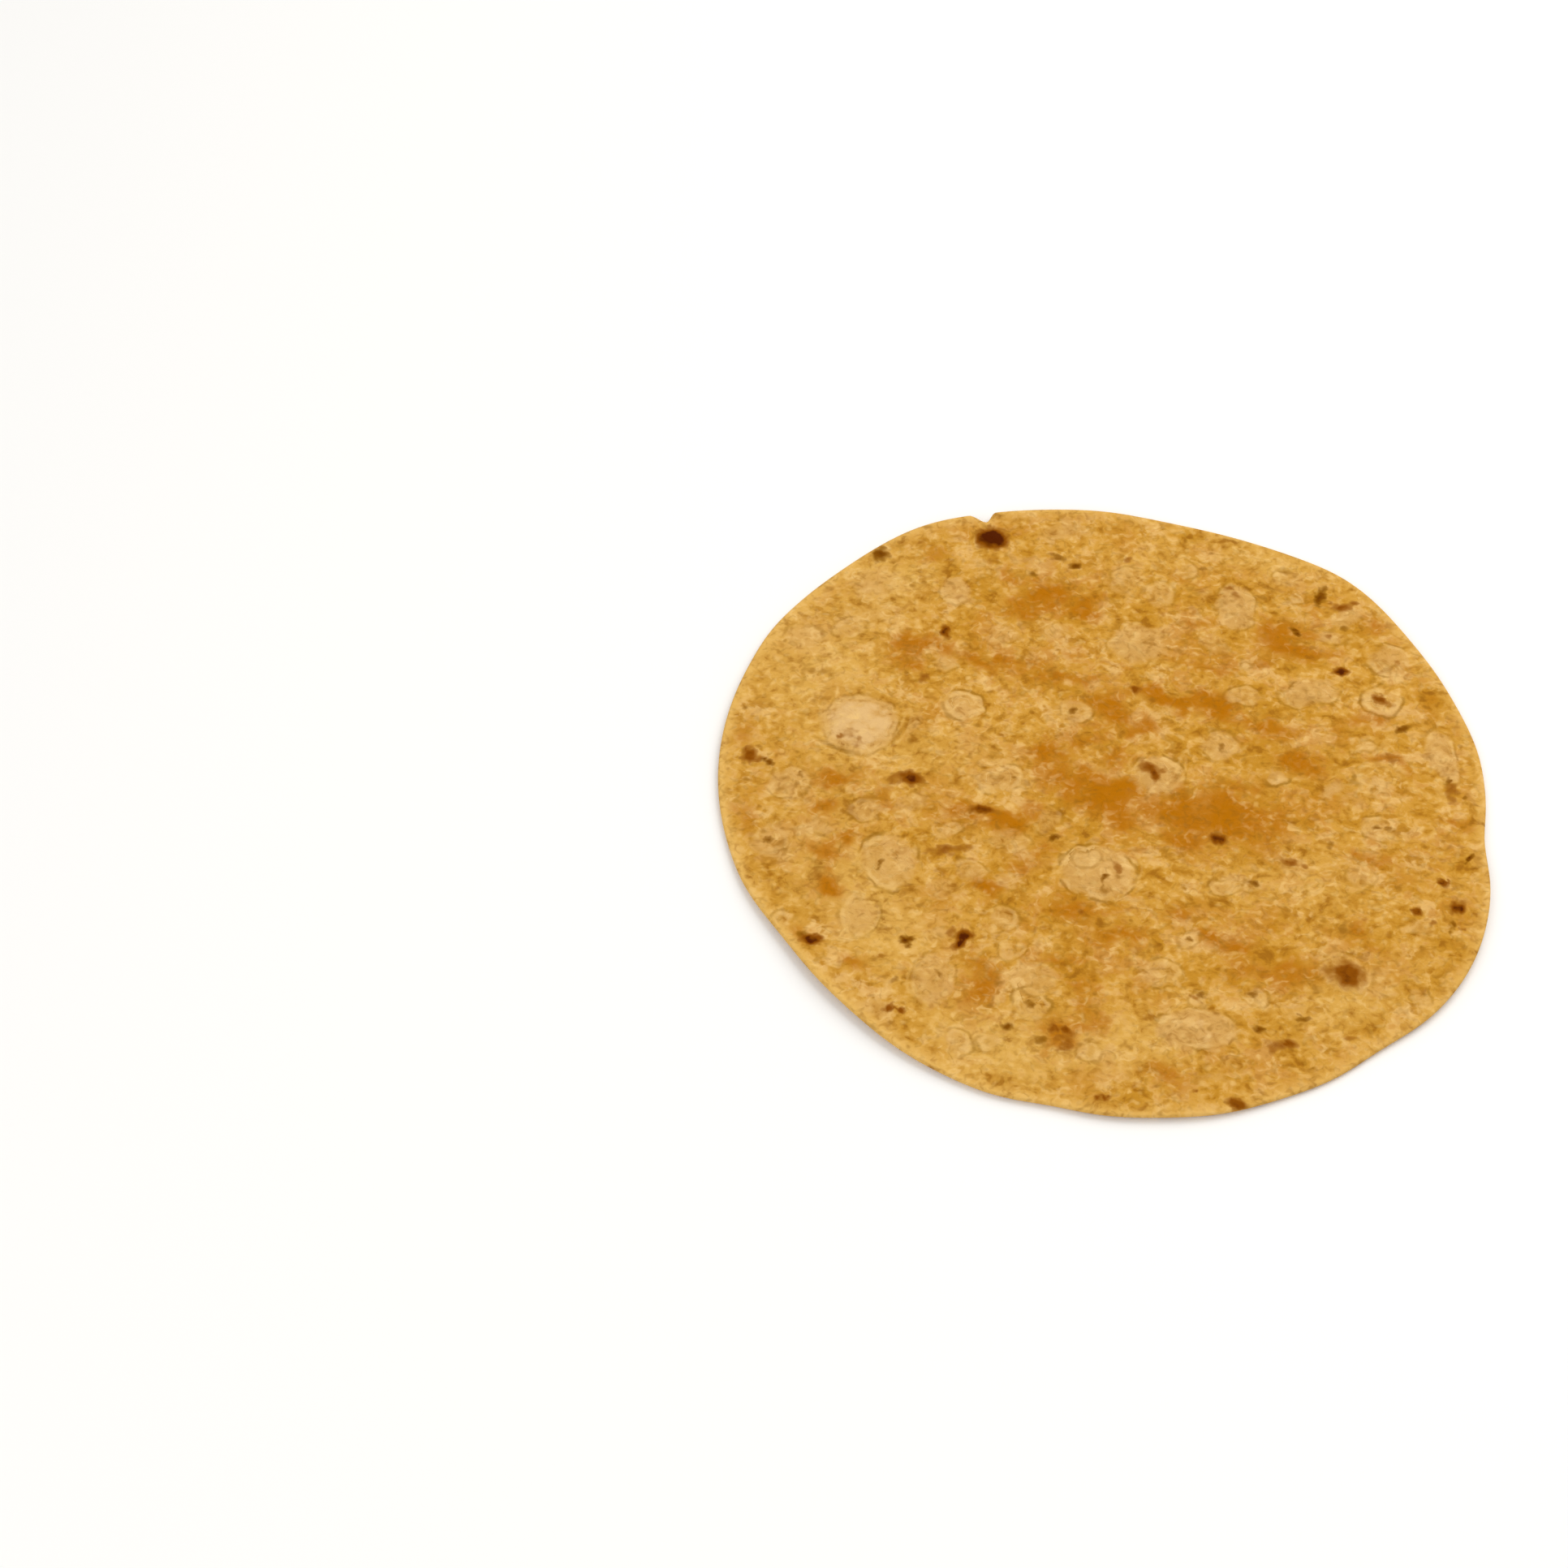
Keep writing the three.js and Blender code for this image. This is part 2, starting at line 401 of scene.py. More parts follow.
@dataclass
class Face:
    """One side of the tortilla, and all that heat has done to it.

    Browned patches have toasted to amber, pale ones were hardly touched, and in the broad
    fair zones the whole skin stayed lighter. Ripples bend the edges: tremble those of the
    marks, wander those of the blisters and drift those of the patches. Another, patchy,
    breaks the rings at the feet of the blisters into arcs.
    """

    blisters: tuple[Blister, ...] = ()
    marks: tuple[Mark, ...] = ()
    browned: tuple[Spot, ...] = ()
    pale: tuple[Spot, ...] = ()
    fair: tuple[Spot, ...] = ()
    creases: tuple[Crease, ...] = ()
    tremble: Ripple = Ripple(0.8, 1.7, octaves=2, seed=2)
    wander: Ripple = Ripple(1.3, 4.6, octaves=2, seed=3)
    patchy: Ripple = Ripple(2.0, 6.0, octaves=2, seed=6)
    drift: Ripple = Ripple(4.0, 9.0, octaves=3, seed=5)
    wrinkles: tuple[Ripple, ...] = (
        Ripple(0.075, 2.2, stretch=1.4, octaves=2, seed=11),
        Ripple(0.12, 6.5, stretch=1.2, octaves=2, seed=12),
    )
    swells: tuple[Ripple, ...] = (Ripple(0.3, 30.0, seed=13), Ripple(0.16, 15.0, seed=14))
    crust: Ripple = Ripple(0.22, 1.1, octaves=2, seed=21)

    def bent(self, points: Array, bend: Ripple) -> Array:
        """Moves points by a ripple, so that ovals drawn on them turn out uneven."""
        other = replace(bend, seed=bend.seed + SECOND_AXIS)
        return points + np.stack([bend.at(points), other.at(points)], axis=1)

    def spread(self, spots: tuple[Spot, ...], points: Array) -> Array:
        """Works out how far points lie in any of some fading spots, from 0 to 1."""
        outside = (1.0 - spot.softly(points) for spot in spots)
        return 1.0 - math.prod(outside, start=np.ones(len(points)))

    def tints(self, points: Array) -> dict[str, Array]:
        """Works out the fields that the finish reads.

        Args:
            points: X and Y of each point of the face.

        Returns:
            A named value from 0 to about 1 for each point, and the edge in millimetres.
        """
        near, far = self.bent(points, self.wander), self.bent(points, self.drift)
        close = self.bent(points, self.tremble)
        scorch, olive, pale, ring, crease = np.zeros((5, len(points)))
        for mark in self.marks:
            burn = np.clip(BURN_MIDDLE - BURN_FALL * mark.away(close), 0.0, 1.0)
            olive = np.where(mark.strength * burn > scorch, mark.tone.value, olive)
            scorch = np.maximum(scorch, mark.strength * burn)
        for spot in self.pale:
            pale = np.maximum(pale, spot.softly(far))
        edge = np.full(len(points), EDGE_REACH)
        for blister in self.blisters:
            away = blister.away(near)
            pale = np.maximum(pale, blister.strength / (1.0 + away**CROWN_POWER))
            beyond = (away - 1.0) * (blister.half_long + blister.half_short) / 2
            nearer = (beyond > -EDGE_REACH) & (np.abs(beyond) < np.abs(edge))
            edge = np.where(nearer, beyond, edge)
            ring = np.where(nearer, blister.ring, ring)
        for fold in self.creases:
            crease = np.maximum(crease, fold.nearness(points))
        return {
            "scorch": scorch,
            "olive": olive,
            "toast": self.spread(self.browned, far),
            "fair": self.spread(self.fair, far),
            "pale": pale,
            "crease": crease,
            "edge": edge,
            "ring": ring * np.clip(RING_SHARE + self.patchy.at(points), 0.0, RING_MOST),
        }

    def relief(self, points: Array, tints: dict[str, Array]) -> Array:
        """Works out the relief of the skin over the smooth sheet.

        Args:
            points: X and Y of each point of the face.
            tints: The fields that tints() gave for them.

        Returns:
            The height over the smooth sheet of each point.
        """
        near = self.bent(points, self.wander)
        height = sum(ripple.at(points) for ripple in self.swells)
        fine = sum(ripple.at(points) for ripple in self.wrinkles)
        height += fine * (1.0 - CROWN_SMOOTHER * tints["pale"])
        for blister in self.blisters:
            away = blister.away(near)
            dome = np.clip(1.0 - away**2, 0.0, 1.0) ** (DOME_POWER - blister.ring)
            foot = np.exp(-(((away - GROOVE_AT) / GROOVE_WIDTH) ** 2))
            height += blister.rise * dome
            height -= GROOVE_DEPTH * tints["ring"] * foot
        height -= CREASE_DEPTH * np.clip(tints["crease"], 0.0, 1.0) ** CREASE_POWER
        return height + np.clip(tints["scorch"], 0.0, 1.0) * (CRUST_RISE + self.crust.at(points))


# ---- the browned face ----
#
# Each row is one thing seen on the browned face: x, y, half its length, half its width, its
# strength and, where its length isn't along X, its turn. A blister that stands out also has
# its rise and the sharpness of its foot. A crease has three points and its strength.

BLISTERS = (
    (-63.5, 22.5, 10, 9.6, 1, 0, 1.15, 0.4), (15, 6.1, 6.6, 6.2, 0.75, 60, 1.0, 0.9),
    (12.5, 49.7, 8.5, 7, 0.7, 0, 0.7, 0.35), (-2.5, -24.9, 9.8, 8, 0.75, -10, 1.0, 0.8),
    (40, 62.2, 7.8, 5.3, 0.8, 90, 0.6, 0.35), (-56.5, -21.3, 8.5, 7.5, 0.6, 80, 0.8, 0.6),
    (-46.5, -58, 7.8, 6, 0.6, 80, 0.65, 0.35), (19.5, -72, 10, 6, 0.8, 5, 0.9, 0.4),
    (-27, 4.7, 7, 4.8, 0.6, 0, 0.7, 0.9), (-36, 28.7, 5.4, 5, 0.6, 0, 0.6, 0.8),
    (57.5, 32.7, 7.5, 4.8, 0.7, 10, 0.6, 0.4), (73, 4.7, 6.5, 4.8, 0.35, 0, 0.6, 0.6),
    (91, 11.8, 9, 4.6, 0.7, 100, 0.6, 0.4), (80, 43.1, 6.3, 5.2, 0.6, -20, 0.5, 0.5),
    (59, -56, 7, 6, 0.55, -20, 0.7, 0.3), (-82.5, 3.6, 5.6, 4.6, 0.65, 0, 0.5, 0.5),
    (-65, -38.7, 6.5, 5, 0.6, 80, 0.5, 0.4), (-59, 70.9, 7.5, 5.6, 0.55, 10, 0.5, 0.1),
    (-26, 86.9, 4.6, 4.4, 0.1, 0, 0.8, 0), (-21.5, -64.8, 4.6, 4.4, 0.45, 0, 0.5, 0.6),
    (32, 15.3, 5, 4.6, 0.6, 0, 0.4, 0.4), (-6.5, 27.3, 4.4, 4, 0.5, 0, 0.35, 0.5),
    (70, 58.1, 4.2, 3.2, 0.6, 0, 0.3, 0.1), (-87, -14.3, 4.6, 4.4, 0.55, 0, 0.35, 0.3),
    (46.5, 4.8, 2.6, 2, 0.6, 30, 0.25, 0.8), (-10.5, 54.3, 4.6, 4, 0.5, 0, 0.3, 0),
    (77, 29.6, 5.6, 4.6, 0.5, 0, 0.35, 0.6), (73, -11.8, 6.2, 3.8, 0.5, -20, 0.3, 0.55),
    (-20.5, -57.5, 6, 4.6, 0.55, 0, 0.3, 0.4), (-78, 52, 5, 4.2, 0.6),
    (-66, 55.6, 4.2, 3.2, 0.5, 20), (-36.5, 67.8, 4.8, 4.4, 0.75, 90), (-40.5, 43, 3.8, 2.6, 0.55),
    (-24, 52.6, 4.6, 3, 0.55), (19.5, 66.2, 4.2, 3.8, 0.5, 90), (12, 72, 4.8, 4, 0.5),
    (27.5, 74.6, 3.2, 2.6, 0.45), (54, 72.2, 3.4, 2.8, 0.5), (57.6, 65.6, 2.2, 1.8, 0.5),
    (65.8, 51.8, 3.4, 2.4, 0.6, 10), (33.4, 49.4, 4.6, 3, 0.5, -30), (41, 42.2, 1.7, 1.4, 0.6),
    (40, 32, 4.4, 2.6, 0.5), (71, 15.2, 3, 1.9, 0.5), (-62.4, -4.8, 4.4, 3.2, 0.6, 30),
    (-51.6, -3.4, 3.6, 3, 0.5), (-78, -10.8, 3.4, 2, 0.6, 30), (-72.8, -11.6, 2.6, 2, 0.6),
    (-35.4, -24.6, 4.6, 3.4, 0.5, -40), (-41, -12.2, 4.2, 2.4, 0.5, 30),
    (-25.4, -15.2, 5.6, 3.8, 0.5), (-27, -27.6, 3.4, 3, 0.45), (-27, -39.2, 4, 3.4, 0.55),
    (-15, -9, 4, 2.8, 0.5, 80), (-5, -21.4, 3, 2.4, 0.8), (-40.6, -76.2, 4, 3.4, 0.55, 90),
    (-32.6, -75.8, 3, 2.8, 0.5), (-7.6, -79.2, 3, 2.6, 0.5), (-26, -48.4, 3.6, 3, 0.45),
    (-45.4, -44.2, 4.2, 2.6, 0.5, 10), (-85, -40.2, 3.4, 2.8, 0.5), (49, -23.4, 5, 3.4, 0.5, -10),
    (37.4, -28.8, 3, 2.4, 0.5), (30, -29.2, 4, 2.6, 0.55), (66, -27.2, 3.6, 3, 0.5),
    (19.4, -45.6, 2.6, 2.4, 0.5), (34.8, -62.8, 3.4, 2.6, 0.55), (20.8, -63, 2.6, 2.2, 0.5),
    (76.4, -63, 2.6, 2.4, 0.5), (11.5, -55.8, 5.4, 4, 0.5),
)

CHAR_MARKS = (
    (-25.8, 86.3, 3.9, 3.2, 1.36, -10), (-39.8, 53.8, 2.2, 1.3, 1, 100),
    (66.8, 40, 2.4, 1.1, 1.05, 8), (-50.3, 4.8, 3.4, 1.9, 1, -20),
    (-31.6, -5.3, 3.2, 1.2, 0.95, -6), (29.6, -14.4, 2.1, 1.8, 1.12),
    (86.5, -28.4, 1.6, 1.1, 1.02, -35), (89.2, -36.6, 2, 1.9, 1.05),
    (78.5, -37.6, 1.2, 1, 0.92, 60), (-76.8, -46, 2.9, 1.5, 1.08, -8),
    (-37.8, -44.5, 2.2, 1.6, 1.1, 15), (-38.8, -46.4, 2.1, 1.2, 1.05, 60),
    (28, -93.4, 2.6, 1.5, 0.85, -12),
)

BROWN_MARKS = (
    (-46, 38.3, 1.6, 1.3, 0.55), (-46, 85, 1.6, 1.2, 0.45), (-2.4, 78, 3.2, 1.8, 0.35, 20),
    (69.2, 61.9, 2.6, 1.3, 0.65, 8), (72.8, 63.3, 1.1, 0.7, 0.55, 20), (66.4, 63.7, 0.9, 0.7, 0.45),
    (64.8, 51.6, 1.1, 0.8, 0.45), (38.3, 68.6, 1.6, 0.9, 0.55, -10), (40.3, 66.1, 1.8, 1.3, 0.42),
    (82.3, 42.4, 1.1, 1, 0.45), (77, 39.8, 1.3, 0.8, 0.35), (-93.2, 12.4, 2.4, 1.9, 0.85, 70),
    (-94.4, 10.6, 1.2, 1, 0.6, 90), (-91, 11.4, 2.2, 1.2, 0.66), (-54.4, 4.8, 2.8, 1.7, 0.6, 10),
    (-42.5, -18, 4.5, 1.5, 0.55, 8), (-37, -17.3, 2.4, 1.4, 0.42, 12), (11, 34.1, 1.3, 1.2, 0.85),
    (12.7, 7.6, 3.3, 1.8, 0.73, -55), (14.1, 5.3, 1.8, 1.3, 0.86, -50),
    (16.2, 6.8, 1.8, 0.9, 0.5, 60), (2.5, -24.1, 2.6, 1.4, 0.42, 90),
    (76.2, 30.6, 2.2, 1.4, 0.76, -45), (78.4, 29.2, 1.8, 1.2, 0.54, -20),
    (92.4, 0.8, 2.4, 1.6, 0.56, 90), (92, -2.1, 1.8, 1.4, 0.4, 60), (78, 10.9, 3.2, 1.2, 0.42, -15),
    (90, -43.1, 0.9, 0.8, 0.55), (82.5, -41.2, 1, 0.9, 0.38), (47.4, -22.2, 2.3, 1.3, 0.7, -15),
    (51.5, -23.4, 1.4, 0.9, 0.4), (58.7, -56.3, 4.6, 3.5, 0.85, -28),
    (-41.3, -43.2, 1.7, 0.9, 0.5, 60), (-40.4, -47.5, 1.3, 0.7, 0.5, 35),
    (-57.5, -66.7, 1.6, 1.1, 0.85, 25), (-56, -66.2, 1.5, 1, 0.78),
    (-54.7, -66.8, 1.3, 1, 0.85, -35), (-30.2, -70.3, 1.1, 0.8, 0.33),
    (-16.2, -72, 1.6, 1.2, 0.76, 40), (-13.2, -72.7, 2, 1.1, 0.74, -50),
    (-15, -74.6, 1.6, 0.9, 0.6, 10), (-13, -77.1, 2.6, 2, 0.5, 40),
    (-6.7, -91.7, 1.2, 0.9, 0.82, 50), (-4.6, -91.5, 1.4, 0.9, 0.85, -40),
    (19.6, -63.2, 1.6, 0.7, 0.33, -30), (42.3, -76.5, 2, 1.3, 0.74, 22),
    (40.4, -76.7, 3.8, 2.3, 0.5), (57.6, -74.6, 2, 1, 0.42), (18.1, -90.2, 1.1, 0.7, 0.66),
    (-7.5, -37.5, 0.9, 0.7, 0.55), (30, 50.3, 0.9, 0.8, 0.3), (-68.6, 18.3, 1.2, 0.9, 0.5, 80),
    (-66.6, 19.2, 3.2, 2, 0.27, -15), (-63.8, 16, 2.3, 1.1, 0.5), (11.7, 78.7, 1.2, 1, 0.5),
)

OLIVE_MARKS = (
    (-57.2, 81.2, 2.4, 2.2, 0.8, 90), (-3, 76.3, 1.4, 1.2, 1), (-14.8, 73.8, 1.4, 1, 0.55, -15),
    (-8, 79.7, 2.6, 0.9, 0.5, -20), (63.7, 65.7, 3.2, 1.3, 0.85, 68),
    (56, 53.7, 1.9, 0.8, 0.85, -65), (69.3, 54.4, 1.3, 1.1, 0.4),
    (-88.3, 10.2, 1.9, 0.9, 0.85, -28), (-94.5, 28.2, 1.2, 0.9, 0.55, -50),
    (-79.6, 6.3, 1.4, 0.8, 0.58, 60), (-88.1, -14.8, 1, 0.9, 0.66),
    (-59, -22.6, 1.7, 0.8, 0.62, 66), (-54.5, -21, 1.6, 0.6, 0.45, -65),
    (-6.6, 27, 1.4, 1.1, 0.65, 20), (-13, -14, 1.3, 1, 0.76), (-1.1, -27, 1, 0.8, 0.75),
    (-1.5, -30.4, 1.5, 1.2, 0.5, 80), (32.4, 14.7, 1.4, 1, 0.32, 80), (82, 21, 2.5, 1, 0.72, 28),
    (92, 3.9, 1, 0.9, 0.76), (95.4, -1.4, 1, 0.6, 0.45, 40), (94, -21.1, 2.3, 0.62, 0.95, 42),
    (87.3, -41.4, 1.3, 0.8, 0.75, 80), (86.5, -43.4, 0.8, 0.7, 0.45), (37.4, -28.3, 1.4, 1.1, 0.62),
    (58.2, -16.6, 1.5, 1.1, 0.4), (71, -11.2, 1.1, 0.8, 0.55), (74.2, -12.1, 2.2, 1, 0.55, -20),
    (-79.2, -44.6, 1.8, 1.1, 0.55, -20), (-52.6, -46, 2, 1.2, 0.9, 5),
    (-52.1, -47.4, 1.2, 0.7, 0.55), (-44.8, -56.3, 1.2, 1, 0.5), (-56.2, -58.2, 1.5, 1.2, 0.38),
    (-21.8, -65.1, 1.3, 1.2, 0.62), (-28, -71.6, 1.6, 1.3, 0.68, 20), (-20, -75, 2, 1.4, 0.55, 10),
    (21.5, -62.4, 1.2, 1, 0.58, 80), (34.4, -62.2, 1.3, 1.1, 0.58), (35.6, -72.3, 1.5, 1.1, 0.76),
    (46.3, -69, 1.9, 0.9, 0.63), (47.2, -83.5, 1.3, 0.7, 0.5, 20), (69.3, -74.2, 1, 0.8, 0.35),
    (9, -88.2, 1.2, 0.9, 0.33), (19.6, -45.5, 1.1, 0.9, 0.68), (76.8, -62.5, 1, 0.9, 0.5),
    (83, -56.7, 1.1, 0.9, 0.38), (21.4, 48.3, 1.1, 0.7, 0.35, 60), (32.5, 75.9, 1.1, 0.9, 0.4),
    (53, 35.2, 1.4, 0.8, 0.54, 60), (-23.3, 4.7, 1, 0.7, 0.4),
)

BROWNED = (
    (-11.5, 67, 6.5, 5, 0.85), (-18.5, 62, 7, 3, 0.6), (-21, 72, 4, 3, 0.5, -30),
    (-1, 62.5, 5, 4, 0.7), (31.5, 57, 5, 3, 0.5), (25.5, 71.5, 5, 2.5, 0.45, -40),
    (-29, 43.5, 10, 2.6, 0.65, -8), (-8, 38.5, 9, 3, 0.65, -8), (-50, 50, 8, 3.6, 0.65, 10),
    (-50.5, 43.5, 5, 3, 0.6), (51, 53, 9, 5, 0.7), (55, 47.5, 10, 3.6, 0.7), (45, 42.5, 4, 3, 0.55),
    (77.5, 55.5, 4, 3, 0.55), (33, 41, 5, 3, 0.5), (4, 28, 6, 5, 0.75), (19, 32, 11, 3.2, 0.85, -8),
    (32, 28, 6, 4, 0.8, -35), (45.5, 21, 6, 3.6, 0.65, -30), (-13.5, 13, 5, 4, 0.7),
    (-4, 18, 4, 3, 0.5), (10, 20.5, 7, 3, 0.5), (-9, 5, 8, 6, 0.6), (2, 0, 10, 6.5, 1),
    (3, -8, 4, 2.5, 0.6), (4, 12, 4, 3, 0.5), (22, -5.5, 9, 6, 1), (30, -8.5, 10, 6, 0.8),
    (45, -10, 8, 4.5, 0.5), (20, -15.5, 5, 3.5, 0.6), (53, 9.5, 6, 3.6, 0.75), (40, 2, 6, 4, 0.45),
    (65, 18, 4, 3, 0.4), (72, 22.5, 7, 3.5, 0.5), (79, 9.5, 5, 2, 0.6, -30), (78.5, 0, 4, 3, 0.4),
    (92, -8.5, 7, 3, 0.5), (89, 29, 4, 6, 0.4), (66, -19.5, 6, 2.6, 0.5),
    (43.5, -16.5, 3.5, 2.5, 0.45), (76, -27.5, 5, 4, 0.35), (63, -41.5, 4.5, 4, 0.5),
    (67, -48.5, 4, 2.6, 0.4), (-23, -9, 5, 3, 0.75), (-19, -20, 7, 4.5, 0.5, 40),
    (-32, -30, 4.5, 3.5, 0.85), (-10, -37, 6, 7, 0.7), (2, -43.5, 8, 3.5, 0.65),
    (18, -38, 3, 5, 0.5), (29, -47, 9, 4, 0.7), (34, -55, 7, 4, 0.5), (46, -56, 7, 6, 0.55),
    (-9, -61, 4, 6, 0.45), (-13.5, -51.5, 9, 2.2, 0.5), (-33, -57, 5, 8, 0.7),
    (-38, -64.5, 5, 5, 0.4), (-14.5, -74, 6.5, 5, 0.75), (-7, -67, 5, 4, 0.3),
    (10, -84, 8, 3.2, 0.6), (-69, 5, 7, 3.6, 0.75), (-73.5, -4.5, 7, 3.6, 0.65),
    (-74, -29, 4, 3.2, 0.85), (-72.5, -21.5, 3.5, 5, 0.55), (-94, -6, 5, 7, 0.5),
    (-95, 19.5, 4, 6, 0.4), (-67, -13.5, 4, 2.5, 0.7), (-75, -17, 6, 3, 0.4),
    (-57.5, -2, 3.5, 5, 0.5), (-66, -53.5, 4.5, 3.6, 0.6), (-42, 81, 5, 2.5, 0.4),
    (-37, -5, 3.5, 2.2, 0.6), (-30.5, -7.8, 5.5, 3.5, 0.85), (-42, 50, 5, 3, 0.6),
    (13.5, 20.5, 4, 3.5, 0.65), (75, 26.5, 4, 3, 0.4), (-8, 20, 4, 3, 0.45),
    (74, 12.5, 4, 2.5, 0.45), (52, 20, 4, 3, 0.45), (69, -23, 4, 3, 0.4), (66, 45, 4, 3, 0.4),
    (-19, -6, 4, 3, 0.4), (-5, 46, 5, 3, 0.4), (-79, -46, 5, 2.5, 0.6, -35),
)

PALE = (
    (-77, 53, 7, 5, 0.7), (-60, 60, 12, 7, 0.45, 20), (-28.5, 76.5, 5, 3.5, 0.5),
    (-13, 77.5, 5, 3, 0.5), (-23.5, 53, 5, 4, 0.5), (8, 69, 5, 5, 0.5), (18.5, 65.5, 5, 5, 0.4),
    (-5, 88.3, 9.5, 4.5, 0.7), (28, 84, 9, 4, 0.35, -10), (17.5, 27, 5, 3.5, 0.45),
    (31.5, -28, 7, 5, 0.45), (59, 17, 4, 5, 0.4), (66, -3, 6, 7, 0.45), (66, -59.5, 7, 6, 0.45),
    (78, -43.5, 6, 5, 0.5), (22.5, -87.5, 6, 3, 0.5), (-2.5, -78.5, 6, 4, 0.5),
    (-29, -41, 6, 5, 0.45), (-63.5, -4.5, 4, 3, 0.5), (-48.5, -2.5, 5, 3.5, 0.4),
    (-74.5, -11.5, 3.5, 2.4, 0.6), (12.5, -55.5, 8, 5, 0.4), (-5, -56.5, 4, 3.5, 0.45),
    (-22, -58, 6, 6, 0.4), (66, -26.5, 5, 4, 0.45), (87.5, 21, 5, 6, 0.45),
    (47.5, -66, 5, 3.4, 0.45), (-24, -14, 6, 4, 0.4), (-42.5, -29.5, 7, 5, 0.55),
    (-41, -75.5, 5, 4, 0.4), (-67, 37.5, 9, 5, 0.35), (60, 3, 4.5, 4, 0.75), (-50, 22.5, 3, 5, 0.7),
    (-87, -18.5, 5, 4, 0.7), (-62, -67, 5, 3, 0.7, -40), (26, -80, 5, 3, 0.5),
    (33, 66.5, 4, 4, 0.45),
)

FAIR = (
    (-76, 44, 24, 22, 0.6, 60), (-52, 72, 14, 12, 0.6, 20), (-58, 14, 24, 16, 0.4),
    (-30, 12, 14, 10, 0.35), (-76, -12, 14, 20, 0.4), (-60, -38, 24, 16, 0.65, -40),
    (-34, -76, 20, 12, 0.6, -15), (-8, -78, 16, 9, 0.6), (12, -72, 14, 12, 0.4),
    (60, -64, 22, 11, 0.45, 35), (52, 76, 16, 8, 0.5, -25), (20, 80, 22, 8, 0.35),
    (54, -28, 16, 14, 0.4), (30, -30, 12, 8, 0.3),
)

CREASES = (
    ((-76, 18.4), (-69.5, 14.5), (-61.5, 12), 1.12),
    ((-73.1, 29.6), (-73.5, 24.6), (-72.6, 19.5), 0.5),
    ((-56, 15.7), (-52.3, 20.3), (-50.3, 26.8), 0.8),
    ((-40.6, 32.3), (-41, 28.3), (-39, 24.7), 0.4), ((-34.5, 5.3), (-33.4, 2.8), (-29.5, 1.2), 0.6),
    ((-22.2, 7.2), (-20.2, 5.4), (-21.5, 1.8), 0.5), ((-32, 8.8), (-27.5, 10.5), (-22, 8.8), 0.3),
    ((8.6, 7.7), (9, 10.4), (11.4, 12.6), 0.7), ((22.1, 11.5), (20.6, 5.8), (17, 1.3), 0.85),
    ((7, -19.6), (7.9, -23.9), (6, -28.7), 0.8),
    ((-10.9, -20.4), (-12.6, -22.5), (-13.3, -24.8), 0.55),
    ((-2.8, 10.8), (-1.6, 8.2), (1.6, 7.1), 0.4), ((70, -0.6), (74, -0.4), (77.6, -1), 0.6),
    ((69, 7.7), (75, 9.1), (81, 6.7), 0.35), ((75, 14.1), (77, 16.7), (79.2, 19), 0.4),
    ((90.2, 4.4), (88.8, 1.3), (90.4, -2.5), 0.35),
    ((-50, -53.6), (-51.9, -57.9), (-51.4, -61.5), 0.6),
    ((-67.6, -32.5), (-68.2, -38.4), (-67.4, -42.8), 0.45),
    ((-25.4, -62.9), (-22, -61.1), (-18.7, -63.1), 0.35),
    ((-25.2, -67.3), (-22, -68.7), (-18.8, -67.1), 0.4),
    ((10, 73.2), (12.2, 76.1), (15, 74.9), 0.35), ((-71, 46.8), (-69.5, 49.2), (-66, 49.8), 0.4),
    ((-28.4, 92.5), (-27.6, 90.4), (-26.6, 88.7), 0.9),
    ((-31, 94.6), (-29, 93.1), (-28.2, 91.3), 0.7),
    ((36.5, -62.7), (35.2, -65.2), (37.6, -66.6), 0.3),
    ((-64.5, -15.9), (-65.8, -19.1), (-64, -23.2), 0.35),
)


def toasted_face() -> Face:
    """Gathers what shows on the browned face.

    Returns:
        The face that lies up.
    """
    marks = zip((Tone.CHAR, Tone.BROWN, Tone.OLIVE), (CHAR_MARKS, BROWN_MARKS, OLIVE_MARKS))
    return Face(
        blisters=tuple(Blister(*row) for row in BLISTERS),
        marks=tuple(Mark(*row, tone=tone) for tone, rows in marks for row in rows),
        browned=tuple(Spot(*row) for row in BROWNED),
        pale=tuple(Spot(*row) for row in PALE),
        fair=tuple(Spot(*row) for row in FAIR),
        creases=tuple(Crease(*row) for row in CREASES),
    )


# How far in from its mean radius the hidden face keeps clear of the dents of the rim, and
# between which limits its ovals are narrower than long, and turned.
CLEAR_RIM = 4.0
NARROWER = (0.55, 0.95)
TURNED = (-40, 40)


